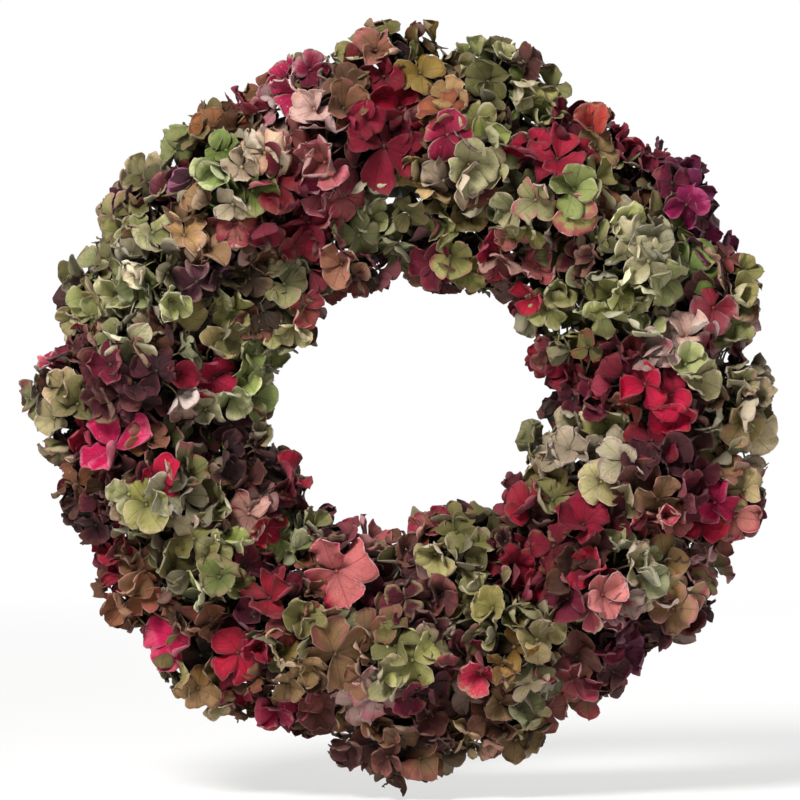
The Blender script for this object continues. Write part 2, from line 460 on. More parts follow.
# ---------------------------------------------------------------------------
# Mesh builder: collects closed surfaces and writes them as one mesh, with the
# attributes and the UV cells that the materials and a bake need.
# ---------------------------------------------------------------------------
class Builder:
    def __init__(self):
        self.v, self.attr, self.count = [], {}, 0
        self.loops, self.totals, self.uv, self.smooth, self.mat = [], [], [], [], []
        self.cells = 0

    def take_cells(self, n):
        first = self.cells
        self.cells += n
        return first

    def add(self, verts, faces, uv, smooth_flags, mat, attrs):
        """verts (n,3) in lying mm, faces (m,k), uv (m,k,3) with the cell number first."""
        n = len(verts)
        self.v.append(verts)
        self.loops.append((faces + self.count).ravel())
        self.totals.append(np.full(len(faces), faces.shape[1]))
        self.uv.append(uv.reshape(-1, 3))
        self.smooth.append(np.broadcast_to(smooth_flags, len(faces)))
        self.mat.append(np.full(len(faces), mat))
        for name, val in attrs.items():
            self.attr.setdefault(name, []).append(np.broadcast_to(val, (n, 3)))
        self.count += n

    def build(self, name, materials, floor=None):
        v = np.concatenate(self.v)
        if floor is not None:
            # whatever would pass the plane behind is pressed flat against it
            x = (v[:, 2] - floor) / 0.7
            v[:, 2] = floor + 0.7 * np.where(x > 15, x, np.log1p(np.exp(np.clip(x, -40, 15))))
        v = world(v)
        loops = np.concatenate(self.loops).astype(np.int32)
        totals = np.concatenate(self.totals).astype(np.int32)
        starts = np.concatenate([[0], np.cumsum(totals)[:-1]]).astype(np.int32)
        me = bpy.data.meshes.new(name)
        me.vertices.add(len(v))
        me.vertices.foreach_set("co", v.ravel().astype(np.float32))
        me.loops.add(len(loops))
        me.loops.foreach_set("vertex_index", loops)
        me.polygons.add(len(totals))
        me.polygons.foreach_set("loop_start", starts)
        me.polygons.foreach_set("loop_total", totals)
        me.polygons.foreach_set("use_smooth", np.concatenate(self.smooth).astype(bool))
        me.polygons.foreach_set("material_index", np.concatenate(self.mat).astype(np.int32))
        side = max(1, math.ceil(math.sqrt(self.cells)))
        uv = np.concatenate(self.uv)
        cell = uv[:, 0].astype(int)
        pad = 0.07
        u = (cell % side + pad + (1 - 2 * pad) * uv[:, 1]) / side
        w = (cell // side + pad + (1 - 2 * pad) * uv[:, 2]) / side
        layer = me.uv_layers.new(name="OFBake")
        layer.data.foreach_set("uv", np.stack([u, w], axis=1).ravel().astype(np.float32))
        for k, parts in self.attr.items():
            a = me.attributes.new(k, "FLOAT_VECTOR", "POINT")
            a.data.foreach_set("vector", np.concatenate(parts).ravel().astype(np.float32))
        for m in materials:
            me.materials.append(m)
        me.update(calc_edges=True)
        me.validate(verbose=False)
        ob = bpy.data.objects.new(name, me)
        bpy.context.scene.collection.objects.link(ob)
        return ob


def sheet_faces(nu, nv):
    """Faces of a closed thin sheet: front grid, back grid, rim, and their u, v corners."""
    def at(i, j, side):
        return side * (nu + 1) * (nv + 1) + i * (nv + 1) + j

    front, back, rim, ruv = [], [], [], []
    fuv, buv = [], []
    for i in range(nu):
        for j in range(nv):
            c = [(i, j), (i + 1, j), (i + 1, j + 1), (i, j + 1)]
            front.append([at(a, b, 0) for a, b in c])
            fuv.append([(a / nu, b / nv) for a, b in c])
            c = c[::-1]
            back.append([at(a, b, 1) for a, b in c])
            buv.append([(a / nu, b / nv) for a, b in c])
    ring = (
        [(i, 0) for i in range(nu)]
        + [(nu, j) for j in range(nv)]
        + [(i, nv) for i in range(nu, 0, -1)]
        + [(0, j) for j in range(nv, 0, -1)]
    )
    for a, b in zip(ring, ring[1:] + ring[:1]):
        rim.append([at(*a, 1), at(*b, 1), at(*b, 0), at(*a, 0)])
        ruv.append([(a[0] / nu, a[1] / nv), (b[0] / nu, b[1] / nv)] + [(b[0] / nu, b[1] / nv), (a[0] / nu, a[1] / nv)])
    return (
        np.array(front),
        np.array(back),
        np.array(rim),
        np.array(fuv),
        np.array(buv),
        np.array(ruv),
    )


def col(x):
    return x[:, None, None]


def sepals(b, o, ax, ay, az, par, cols, nu, nv, thick):
    """Adds one closed, curled sheet for each row of o. par holds the shape numbers, cols the four colours."""
    s = len(o)
    t = np.linspace(0, 1, nu + 1)
    u = 1 - (1 - t) ** 1.45
    v = np.linspace(-1, 1, nv + 1)
    v = np.sign(v) * np.abs(v) ** 0.9
    U = u[None, :, None] * np.ones((s, 1, nv + 1))
    V = v[None, None, :] * np.ones((s, nu + 1, 1))
    length, width = par["length"], par["width"]
    a, c = par["low"], par["blunt"]
    peak = a / (a + c)
    top = (peak + 0.02) ** a * (1 - peak + 0.002) ** c
    w = col(width) * (U + 0.02) ** col(a) * (1 - U + 0.002) ** col(c) / col(top)
    w = np.maximum(w, col(width) * 0.07)
    w = w * (1 + col(par["lobe"]) * np.sin(2 * math.pi * (U * 3.3 + col(par["ph"][:, 0]))) * U)
    w = w * (1 + 0.022 * np.sin(2 * math.pi * (U * 5.6 + 0.6 * np.sign(V) + col(par["ph"][:, 3]))) * smooth(0.3, 0.6, U))
    # midrib, bending up or down from its base
    alpha = col(par["lift"]) + col(par["bend"]) * U ** 1.2 + col(par["hook"]) * smooth(0.62, 1.0, U)
    ds = np.diff(u, prepend=0.0)[None, :, None] * col(length)
    r = np.cumsum(np.cos(alpha) * ds, axis=1) + col(par["start"])
    h = np.cumsum(np.sin(alpha) * ds, axis=1) + col(par["rise"])
    # across the sheet: a cup, a fold along the midrib, waves at the edge and crumples
    k = col(par["cup"]) * (0.35 + 0.65 * U)
    kv = np.where(np.abs(k) < 1e-3, 1e-3, k)
    across = w * np.sin(kv * V) / kv
    up = w * (1 - np.cos(kv * V)) / kv
    up += col(par["fold"]) * w * (np.sqrt(V * V + 0.03) - 0.17)
    ph = par["ph"]
    up += col(par["wave"]) * np.abs(V) ** 2.4 * np.sin(
        2 * math.pi * (col(par["freq"]) * U + col(ph[:, 1]) + 0.22 * V)
    ) * smooth(0.05, 0.5, U)
    for q in range(3):
        kx, ky = par["knum"][:, q, 0], par["knum"][:, q, 1]
        up += col(par["crumple"]) * (0.62 ** q) * np.sin(col(kx) * U + col(ky) * V + 2 * math.pi * col(ph[:, 2 + q])) * (0.25 + 0.75 * U)
    up += 0.16 * np.exp(-((V / 0.16) ** 2)) * (1 - U) * -1.0
    up += 0.10 * np.sin(2 * math.pi * (5.2 * U - 2.4 * np.abs(V) + col(ph[:, 5]))) * (1 - np.abs(V) ** 3) * smooth(0.0, 0.3, U)
    twist = col(par["twist"]) * U + col(par["roll"])
    ca, sa = np.cos(alpha), np.sin(alpha)
    ct, st = np.cos(twist), np.sin(twist)
    side = across * ct - up * st
    lift = across * st + up * ct
    side = side + col(par["sway"]) * U**2
    r = r + col(par["point"]) * np.exp(-((V / 0.30) ** 2)) * smooth(0.72, 1.0, U)
    X = r - sa * lift
    Z = h + ca * lift
    P = (
        o[:, None, None, :]
        + X[..., None] * ax[:, None, None, :]
        + side[..., None] * ay[:, None, None, :]
        + Z[..., None] * az[:, None, None, :]
    )
    du = np.gradient(P, axis=1)
    dv = np.gradient(P, axis=2)
    nrm = unit(np.cross(du, dv))
    th = thick * (1.0 - 0.45 * smooth(0.75, 1.0, np.maximum(np.abs(V), U)))[..., None] / 2
    both = np.stack([P + nrm * th, P - nrm * th], axis=1)
    n_one = (nu + 1) * (nv + 1)
    verts = both.reshape(s * 2 * n_one, 3)
    front, back, rim, fuv, buv, ruv = SHEETS[(nu, nv)]
    base = (np.arange(s) * 2 * n_one)[:, None, None]
    first = b.take_cells(2 * s)

    def cells(uvs, which):
        out = np.empty((s, *uvs.shape[:2], 3))
        out[..., 0] = (first + 2 * np.arange(s) + which)[:, None, None]
        out[..., 1:] = uvs[None]
        return out.reshape(-1, uvs.shape[1], 3)

    pu = np.empty((s, 2, nu + 1, nv + 1, 3))
    pu[..., 0] = U[:, None]
    pu[..., 1] = V[:, None]
    pu[:, 0, ..., 2] = col(par["seed"])
    pu[:, 1, ..., 2] = col(par["seed"]) + 10.0
    rep = np.ones((2 * n_one, 1))

    def per(c):
        return (c[:, None, :] * rep[None]).reshape(-1, 3)

    # sheets grow darker the deeper they lie in their head
    deep = under_surface(P)
    dark = np.clip(col(par["dark"]) + 0.88 * smooth(0.5, 15.5, deep), 0.0, 0.91)
    shade = np.empty((s, 2, nu + 1, nv + 1, 3))
    shade[..., 0] = par["age"][:, None, None, None]
    shade[..., 1] = dark[:, None]
    shade[..., 2] = par["edge"][:, None, None, None]
    attrs = {
        "pu": pu.reshape(-1, 3),
        "ca": per(cols[:, 0]),
        "cb": per(cols[:, 1]),
        "cc": per(cols[:, 2]),
        "cd": per(cols[:, 3]),
        "sh": shade.reshape(-1, 3),
    }
    b.v.append(verts)
    for faces, uvs, which, sm in ((front, fuv, 0, True), (back, buv, 1, True), (rim, ruv, 0, False)):
        f = (faces[None] + base).reshape(-1, 4) + b.count
        b.loops.append(f.ravel())
        b.totals.append(np.full(len(f), 4))
        b.uv.append(cells(uvs, which).reshape(-1, 3))
        b.smooth.append(np.full(len(f), sm))
        b.mat.append(np.zeros(len(f)))
    for name, val in attrs.items():
        b.attr.setdefault(name, []).append(val)
    b.count += len(verts)
    return P


def tube(b, pts, radii, sides, mat, attrs, cap=True, uvcell=None, vspan=(0, 1)):
    """Adds a closed tube along pts (k,3)."""
    pts = np.asarray(pts, dtype=float)
    k = len(pts)
    radii = np.broadcast_to(radii, k).astype(float)
    t = unit(np.gradient(pts, axis=0))
    ref = np.array([0.0, 0.0, 1.0]) if abs(t[0][2]) < 0.9 else np.array([1.0, 0.0, 0.0])
    n = np.empty_like(pts)
    n[0] = unit(np.cross(t[0], ref))
    for i in range(1, k):
        m = n[i - 1] - t[i] * (n[i - 1] @ t[i])
        n[i] = unit(m)
    bn = np.cross(t, n)
    a = np.linspace(0, 2 * math.pi, sides, endpoint=False)
    ring = n[:, None] * np.cos(a)[None, :, None] + bn[:, None] * np.sin(a)[None, :, None]
    v = (pts[:, None] + ring * radii[:, None, None]).reshape(-1, 3)
    i, j = np.meshgrid(np.arange(k - 1), np.arange(sides), indexing="ij")
    i, j = i.ravel(), j.ravel()
    j2 = (j + 1) % sides
    f = np.stack([i * sides + j, i * sides + j2, (i + 1) * sides + j2, (i + 1) * sides + j], axis=1)
    cell = b.take_cells(1) if uvcell is None else uvcell
    lo, hi = vspan
    uvs = np.stack(
        [
            np.stack([np.full(len(i), cell), i / (k - 1), lo + (hi - lo) * j / sides], axis=1),
            np.stack([np.full(len(i), cell), i / (k - 1), lo + (hi - lo) * (j + 1) / sides], axis=1),
            np.stack([np.full(len(i), cell), (i + 1) / (k - 1), lo + (hi - lo) * (j + 1) / sides], axis=1),
            np.stack([np.full(len(i), cell), (i + 1) / (k - 1), lo + (hi - lo) * j / sides], axis=1),
        ],
        axis=1,
    )
    b.add(v, f, uvs, True, mat, attrs)
    base = b.count - len(v)
    for idx, flip, pos in ((0, True, 0.0), (k - 1, False, 1.0)):
        c = np.arange(sides) + idx * sides
        if flip:
            c = c[::-1]
        b.loops.append(c + base)
        b.totals.append(np.array([sides]))
        b.uv.append(np.stack([np.full(sides, cell), np.full(sides, pos), lo + (hi - lo) * np.linspace(0, 1, sides)], axis=1))
        b.smooth.append(np.array([False]))
        b.mat.append(np.array([mat]))


def bead(b, c, ax, ay, az, r, mat, attrs):
    """A small bud in four lobes."""
    m, n = 8, 5
    a = np.linspace(0, 2 * math.pi, m, endpoint=False)
    e = np.linspace(-math.pi / 2, math.pi / 2, n + 2)[1:-1]
    E, A = np.meshgrid(e, a, indexing="ij")
    rr = r * (1 + 0.16 * np.cos(4 * A) * np.cos(E))
    x, y, z = rr * np.cos(E) * np.cos(A), rr * np.cos(E) * np.sin(A), rr * np.sin(E) * 0.9
    v = c + x[..., None] * ax + y[..., None] * ay + z[..., None] * az
    v = np.concatenate([v.reshape(-1, 3), [c - az * r * 0.9], [c + az * r * 0.9]])
    i, j = np.meshgrid(np.arange(n - 1), np.arange(m), indexing="ij")
    i, j = i.ravel(), j.ravel()
    f = np.stack([i * m + j, i * m + (j + 1) % m, (i + 1) * m + (j + 1) % m, (i + 1) * m + j], axis=1)
    cell = b.take_cells(1)
    def q(ii, jj):
        return np.stack([np.full(len(ii), cell), (ii + 1) / (n + 1), jj / m], axis=1)
    uvs = np.stack([q(i, j), q(i, j + 1), q(i + 1, j + 1), q(i + 1, j)], axis=1)
    b.add(v, f, uvs, True, mat, attrs)
    base = b.count - len(v)
    jj = np.arange(m)
    for row, pole, flip, uu in ((0, n * m, True, 0.0), (n - 1, n * m + 1, False, 1.0)):
        tri = np.stack([row * m + jj, row * m + (jj + 1) % m, np.full(m, pole)], axis=1)
        uv3 = np.stack([
            np.stack([np.full(m, cell), np.full(m, (row + 1) / (n + 1)), jj / m], axis=1),
            np.stack([np.full(m, cell), np.full(m, (row + 1) / (n + 1)), (jj + 1) / m], axis=1),
            np.stack([np.full(m, cell), np.full(m, uu), (jj + 0.5) / m], axis=1),
        ], axis=1)
        if flip:
            tri, uv3 = tri[:, ::-1], uv3[:, ::-1]
        b.loops.append((tri + base).ravel())
        b.totals.append(np.full(m, 3))
        b.uv.append(uv3.reshape(-1, 3))
        b.smooth.append(np.full(m, True))
        b.mat.append(np.full(m, mat))


# ---------------------------------------------------------------------------
# Materials
# ---------------------------------------------------------------------------
def new_material(name):
    m = bpy.data.materials.new(name)
    m.use_nodes = True
    nt = m.node_tree
    nt.nodes.clear()
    return m, nt


def node(nt, kind, **values):
    n = nt.nodes.new(kind)
    for k, v in values.items():
        if k in n.inputs:
            n.inputs[k].default_value = v
        else:
            setattr(n, k, v)
    return n


def math_node(nt, op, a, b=None, clamp=False):
    n = nt.nodes.new("ShaderNodeMath")
    n.operation = op
    n.use_clamp = clamp
    for i, x in enumerate((a, b)):
        if x is None:
            continue
        if isinstance(x, (int, float)):
            n.inputs[i].default_value = x
        else:
            nt.links.new(x, n.inputs[i])
    return n.outputs[0]


def ramp(nt, x, lo, hi, a=0.0, b=1.0):
    n = nt.nodes.new("ShaderNodeMapRange")
    n.interpolation_type = "SMOOTHSTEP"
    nt.links.new(x, n.inputs["Value"])
    n.inputs["From Min"].default_value = lo
    n.inputs["From Max"].default_value = hi
    n.inputs["To Min"].default_value = a
    n.inputs["To Max"].default_value = b
    return n.outputs["Result"]


def mix_col(nt, fac, a, b, mode="MIX"):
    n = nt.nodes.new("ShaderNodeMix")
    n.data_type = "RGBA"
    n.blend_type = mode
    n.clamp_factor = True
    for sock, x in (("Factor", fac), (6, a), (7, b)):
        target = n.inputs[0] if sock == "Factor" else n.inputs[sock]
        if isinstance(x, (int, float)):
            target.default_value = x
        elif isinstance(x, tuple):
            target.default_value = (*x, 1.0)
        else:
            nt.links.new(x, target)
    return n.outputs[2]


def attr(nt, name):
    n = nt.nodes.new("ShaderNodeAttribute")
    n.attribute_name = name
    return n


def noise(nt, vec, scale, detail=3.0, rough=0.55, distort=0.0):
    n = nt.nodes.new("ShaderNodeTexNoise")
    n.inputs["Scale"].default_value = scale
    n.inputs["Detail"].default_value = detail
    n.inputs["Roughness"].default_value = rough
    n.inputs["Distortion"].default_value = distort
    if vec is not None:
        nt.links.new(vec, n.inputs["Vector"])
    return n


def finish_material(nt, colour, rough, height=None, bump=0.3, dist=0.0004, spec=0.35, metal=0.0, glow=None, sheen=0.0, glow_share=0.16, coat=0.0):
    p = nt.nodes.new("ShaderNodeBsdfPrincipled")
    for sock, x in (("Base Color", colour), ("Roughness", rough)):
        if isinstance(x, (int, float)):
            p.inputs[sock].default_value = x
        else:
            nt.links.new(x, p.inputs[sock])
    p.inputs["Specular IOR Level"].default_value = spec
    p.inputs["Metallic"].default_value = metal
    p.inputs["Sheen Weight"].default_value = sheen
    p.inputs["Coat Weight"].default_value = coat
    if height is not None:
        bn = nt.nodes.new("ShaderNodeBump")
        bn.inputs["Strength"].default_value = bump
        bn.inputs["Distance"].default_value = dist
        nt.links.new(height, bn.inputs["Height"])
        nt.links.new(bn.outputs["Normal"], p.inputs["Normal"])
    out = nt.nodes.new("ShaderNodeOutputMaterial")
    if glow is None:
        nt.links.new(p.outputs[0], out.inputs[0])
    else:
        tr = nt.nodes.new("ShaderNodeBsdfTranslucent")
        nt.links.new(glow, tr.inputs["Color"])
        mx = nt.nodes.new("ShaderNodeMixShader")
        mx.inputs[0].default_value = glow_share
        nt.links.new(p.outputs[0], mx.inputs[1])
        nt.links.new(tr.outputs[0], mx.inputs[2])
        nt.links.new(mx.outputs[0], out.inputs[0])
    return p


def petal_material():
    m, nt = new_material("dried_petal")
    L = nt.links.new
    pu = attr(nt, "pu")
    sep = nt.nodes.new("ShaderNodeSeparateXYZ")
    L(pu.outputs["Vector"], sep.inputs[0])
    u, v, seed = sep.outputs
    sh = nt.nodes.new("ShaderNodeSeparateXYZ")
    L(attr(nt, "sh").outputs["Vector"], sh.inputs[0])
    age, dark, edge_amt = sh.outputs
    under = ramp(nt, seed, 9.5, 9.6)
    av = math_node(nt, "ABSOLUTE", v)
    tc = nt.nodes.new("ShaderNodeTexCoord")
    obj = tc.outputs["Object"]
    shift = nt.nodes.new("ShaderNodeVectorMath")
    shift.operation = "ADD"
    L(obj, shift.inputs[0])
    comb0 = nt.nodes.new("ShaderNodeCombineXYZ")
    L(math_node(nt, "MULTIPLY", seed, 0.37), comb0.inputs[0])
    L(math_node(nt, "MULTIPLY", seed, 0.21), comb0.inputs[1])
    L(comb0.outputs[0], shift.inputs[1])
    vec = shift.outputs[0]
    cloud = noise(nt, vec, 78.0, 4.0, 0.6, 0.4).outputs["Fac"]
    fine = noise(nt, vec, 620.0, 3.0, 0.65).outputs["Fac"]
    grit = noise(nt, vec, 2300.0, 2.0, 0.6).outputs["Fac"]

    # how near the margin, with an uneven boundary
    edge = math_node(
        nt,
        "SUBTRACT",
        1.0,
        math_node(
            nt,
            "MULTIPLY",
            math_node(nt, "SUBTRACT", 1.0, math_node(nt, "POWER", av, 2.6)),
            math_node(nt, "SUBTRACT", 1.0, math_node(nt, "POWER", u, 3.4)),
        ),
    )
    wander = math_node(nt, "MULTIPLY", math_node(nt, "SUBTRACT", cloud, 0.5), 2.5)
    edge_f = math_node(nt, "ADD", math_node(nt, "ADD", edge, wander), edge_amt)
    c = mix_col(nt, ramp(nt, edge_f, 0.35, 1.05), attr(nt, "ca").outputs["Color"], attr(nt, "cb").outputs["Color"])

    # veins: a midrib and side veins that run forward to the margin, then a fine net
    midrib = ramp(nt, av, 0.0, 0.07, 1.0, 0.0)
    comb = nt.nodes.new("ShaderNodeCombineXYZ")
    L(u, comb.inputs[0])
    L(v, comb.inputs[1])
    L(math_node(nt, "MULTIPLY", seed, 1.7), comb.inputs[2])
    wob = math_node(nt, "MULTIPLY", math_node(nt, "SUBTRACT", noise(nt, comb.outputs[0], 3.0, 2.0).outputs["Fac"], 0.5), 0.16)
    along = math_node(nt, "ADD", math_node(nt, "SUBTRACT", u, math_node(nt, "MULTIPLY", av, 0.52)), wob)
    side = math_node(nt, "ABSOLUTE", math_node(nt, "SINE", math_node(nt, "MULTIPLY", along, 16.0)))
    side = math_node(nt, "MULTIPLY", ramp(nt, side, 0.0, 0.16, 1.0, 0.0), ramp(nt, av, 0.75, 1.0, 1.0, 0.15))
    net = nt.nodes.new("ShaderNodeTexVoronoi")
    net.feature = "DISTANCE_TO_EDGE"
    net.inputs["Scale"].default_value = 7.5
    L(comb.outputs[0], net.inputs["Vector"])
    web = ramp(nt, net.outputs["Distance"], 0.0, 0.06, 1.0, 0.0)
    vein = math_node(nt, "MAXIMUM", math_node(nt, "MULTIPLY", midrib, 0.9), math_node(nt, "MAXIMUM", math_node(nt, "MULTIPLY", side, 0.7), math_node(nt, "MULTIPLY", web, 0.42)))
    c = mix_col(nt, math_node(nt, "MULTIPLY", vein, 0.74), c, attr(nt, "cc").outputs["Color"])

    # age: brown blotches and freckles, more of them on older florets and at the margin
    blotch = math_node(nt, "ADD", math_node(nt, "MULTIPLY", edge, 0.28), math_node(nt, "ADD", cloud, math_node(nt, "MULTIPLY", math_node(nt, "SUBTRACT", fine, 0.5), 0.55)))
    blotch = math_node(nt, "MULTIPLY", ramp(nt, blotch, 0.62, 0.95), age)
    c = mix_col(nt, blotch, c, (0.17, 0.085, 0.036))
    freckle = math_node(nt, "MULTIPLY", ramp(nt, grit, 0.60, 0.74), 0.30)
    c = mix_col(nt, freckle, c, attr(nt, "cc").outputs["Color"])
    # light and dark mottling
    val = nt.nodes.new("ShaderNodeHueSaturation")
    L(c, val.inputs["Color"])
    L(math_node(nt, "ADD", 0.42, math_node(nt, "ADD", math_node(nt, "MULTIPLY", cloud, 0.72), math_node(nt, "MULTIPLY", fine, 0.42))), val.inputs["Value"])
    c = val.outputs["Color"]
    # the underside is paler, with the veins standing out
    back = mix_col(nt, math_node(nt, "MULTIPLY", vein, 0.4), attr(nt, "cd").outputs["Color"], attr(nt, "ca").outputs["Color"])
    c = mix_col(nt, math_node(nt, "MULTIPLY", under, 0.66), c, back)
    # a thin light margin, and a darker throat
    rim = math_node(nt, "MULTIPLY", ramp(nt, math_node(nt, "MAXIMUM", av, u), 0.91, 0.99), 0.62)
    c = mix_col(nt, rim, c, attr(nt, "cd").outputs["Color"])
    throat = math_node(nt, "MULTIPLY", ramp(nt, u, 0.0, 0.30, 0.7, 1.0), ramp(nt, u, 0.15, 0.95, 0.78, 1.0))
    c = mix_col(nt, 1.0, c, mix_col(nt, throat, (0.0, 0.0, 0.0), (1.0, 1.0, 1.0)), "MULTIPLY")
    c = mix_col(nt, 1.0, c, mix_col(nt, dark, (1.0, 1.0, 1.0), (0.0, 0.0, 0.0)), "MULTIPLY")
    # light that has passed between petals comes out richer
    rich = nt.nodes.new("ShaderNodeHueSaturation")
    L(c, rich.inputs["Color"])
    L(math_node(nt, "ADD", 1.0, math_node(nt, "MULTIPLY", dark, 0.42)), rich.inputs["Saturation"])
    c = rich.outputs["Color"]
    rough = ramp(nt, fine, 0.3, 0.7, 0.56, 0.74)
    height = math_node(nt, "ADD", math_node(nt, "MULTIPLY", vein, -0.55), math_node(nt, "ADD", math_node(nt, "MULTIPLY", fine, 0.7), math_node(nt, "MULTIPLY", grit, 0.25)))
    finish_material(nt, c, rough, height, 0.8, 0.0005, spec=0.27, glow=c, sheen=0.05, glow_share=0.15)
    return m


def stalk_material():
    m, nt = new_material("dried_stalk")
    tc = nt.nodes.new("ShaderNodeTexCoord")
    big = noise(nt, tc.outputs["Object"], 70.0, 3.0).outputs["Fac"]
    fine = noise(nt, tc.outputs["Object"], 900.0, 3.0).outputs["Fac"]
    c = mix_col(nt, ramp(nt, big, 0.35, 0.68), tuple(linear((112, 116, 62))), tuple(linear((92, 60, 42))))
    c = mix_col(nt, math_node(nt, "MULTIPLY", ramp(nt, fine, 0.45, 0.7), 0.5), c, tuple(linear((60, 50, 30))))
    finish_material(nt, c, 0.68, fine, 0.4, 0.0003, spec=0.3)
    return m


def straw_material():
    m, nt = new_material("bound_straw")
    L = nt.links.new
    tone = nt.nodes.new("ShaderNodeSeparateXYZ")
    L(attr(nt, "pu").outputs["Vector"], tone.inputs[0])
    along, side, seed = tone.outputs
    comb = nt.nodes.new("ShaderNodeCombineXYZ")
    L(math_node(nt, "MULTIPLY", along, 0.05), comb.inputs[0])
    L(math_node(nt, "MULTIPLY", side, 3.0), comb.inputs[1])
    L(seed, comb.inputs[2])
    grain = noise(nt, comb.outputs[0], 14.0, 4.0, 0.6).outputs["Fac"]
    tc = nt.nodes.new("ShaderNodeTexCoord")
    spots = noise(nt, tc.outputs["Object"], 160.0, 3.0).outputs["Fac"]
    tint = noise(nt, comb.outputs[0], 0.9, 1.0).outputs["Fac"]
    c = mix_col(nt, ramp(nt, tint, 0.3, 0.7), tuple(linear((196, 168, 108))), tuple(linear((146, 112, 64))))
    c = mix_col(nt, math_node(nt, "MULTIPLY", ramp(nt, grain, 0.42, 0.7), 0.5), c, tuple(linear((108, 78, 42))))
    c = mix_col(nt, math_node(nt, "MULTIPLY", ramp(nt, spots, 0.58, 0.78), 0.45), c, tuple(linear((84, 62, 36))))
    finish_material(nt, c, ramp(nt, grain, 0.3, 0.7, 0.42, 0.66), grain, 0.45, 0.0003, spec=0.45, sheen=0.05)
    return m


def twine_material():
    m, nt = new_material("jute_twine")
    L = nt.links.new
    tone = nt.nodes.new("ShaderNodeSeparateXYZ")
    L(attr(nt, "pu").outputs["Vector"], tone.inputs[0])
    along, side, seed = tone.outputs
    comb = nt.nodes.new("ShaderNodeCombineXYZ")
    L(math_node(nt, "MULTIPLY", along, 0.6), comb.inputs[0])
    L(math_node(nt, "MULTIPLY", side, 6.0), comb.inputs[1])
    L(seed, comb.inputs[2])
    fibre = noise(nt, comb.outputs[0], 6.0, 4.0, 0.65).outputs["Fac"]
    tc = nt.nodes.new("ShaderNodeTexCoord")
    big = noise(nt, tc.outputs["Object"], 90.0, 2.0).outputs["Fac"]
    c = mix_col(nt, ramp(nt, fibre, 0.32, 0.7), tuple(linear((172, 138, 92))), tuple(linear((104, 76, 46))))
    c = mix_col(nt, math_node(nt, "MULTIPLY", big, 0.35), c, tuple(linear((84, 64, 42))))
    finish_material(nt, c, 0.85, fibre, 0.7, 0.0003, spec=0.2, sheen=0.15)
    return m


def moss_material():
    m, nt = new_material("sheet_moss")
    tc = nt.nodes.new("ShaderNodeTexCoord")
    big = noise(nt, tc.outputs["Object"], 34.0, 3.0).outputs["Fac"]
    mid = noise(nt, tc.outputs["Object"], 190.0, 4.0, 0.7).outputs["Fac"]
    fine = noise(nt, tc.outputs["Object"], 1500.0, 3.0, 0.7).outputs["Fac"]
    c = mix_col(nt, ramp(nt, big, 0.35, 0.65), tuple(linear((98, 98, 52))), tuple(linear((78, 62, 40))))
    c = mix_col(nt, ramp(nt, mid, 0.35, 0.7), c, tuple(linear((52, 54, 26))))
    c = mix_col(nt, math_node(nt, "MULTIPLY", ramp(nt, fine, 0.5, 0.75), 0.55), c, tuple(linear((138, 136, 84))))
    h = math_node(nt, "ADD", mid, math_node(nt, "MULTIPLY", fine, 0.6))
    finish_material(nt, c, 0.92, h, 0.9, 0.0012, spec=0.15, sheen=0.2)
    return m


def stem_material():
    m, nt = new_material("flower_stem")
    tc = nt.nodes.new("ShaderNodeTexCoord")
    big = noise(nt, tc.outputs["Object"], 60.0, 3.0).outputs["Fac"]
    fine = noise(nt, tc.outputs["Object"], 1200.0, 4.0, 0.7).outputs["Fac"]
    c = mix_col(nt, ramp(nt, big, 0.35, 0.68), tuple(linear((110, 114, 60))), tuple(linear((98, 70, 44))))
    c = mix_col(nt, math_node(nt, "MULTIPLY", ramp(nt, fine, 0.5, 0.7), 0.5), c, tuple(linear((62, 46, 28))))
    finish_material(nt, c, 0.7, fine, 0.5, 0.0004, spec=0.3)
    return m


def wire_material(name, tone, worn, metal, rough, coat=0.0):
    m, nt = new_material(name)
    tc = nt.nodes.new("ShaderNodeTexCoord")
    big = noise(nt, tc.outputs["Object"], 150.0, 4.0, 0.6).outputs["Fac"]
    fine = noise(nt, tc.outputs["Object"], 1600.0, 3.0, 0.6).outputs["Fac"]
    c = mix_col(nt, ramp(nt, big, 0.5, 0.68), tone, worn)
    c = mix_col(nt, math_node(nt, "MULTIPLY", fine, 0.25), c, tuple(0.4 * x for x in tone))
    finish_material(nt, c, ramp(nt, fine, 0.3, 0.7, rough - 0.08, rough + 0.14), fine, 0.15, 0.0002, spec=0.5, metal=metal, coat=coat)
    return m


PETAL = petal_material()
STALK = stalk_material()
STRAW = straw_material()
TWINE = twine_material()
MOSS = moss_material()
STEM = stem_material()
PIN = wire_material("bare_wire", tuple(linear((118, 114, 108))), tuple(linear((92, 62, 44))), 1.0, 0.42)
SLING = wire_material("florist_wire", tuple(linear((34, 60, 36))), tuple(linear((78, 92, 66))), 0.0, 0.36, coat=0.3)
BRASS = wire_material("aged_brass", tuple(linear((176, 140, 78))), tuple(linear((104, 76, 42))), 1.0, 0.34)

# ---------------------------------------------------------------------------
# Florets
# ---------------------------------------------------------------------------
SHEETS = {}
for g in ((11, 9), (10, 8), (8, 6)):
    SHEETS[g] = sheet_faces(*g)

STIFF = np.zeros(3)


def turn_frame(n, rng, spread):
    """Three axes for each row of n, with n tilted by a random angle."""
    s = len(n)
    ref = unit(rng.normal(size=(s, 3)))
    a = unit(ref - n * (ref * n).sum(axis=1, keepdims=True))
    t = np.abs(rng.normal(0, 1, s)) * spread
    t = np.minimum(t, 1.25)
    z = unit(n * np.cos(t)[:, None] + a * np.sin(t)[:, None])
    ref = unit(rng.normal(size=(s, 3)))
    x = unit(ref - z * (ref * z).sum(axis=1, keepdims=True))
    return x, np.cross(z, x), z


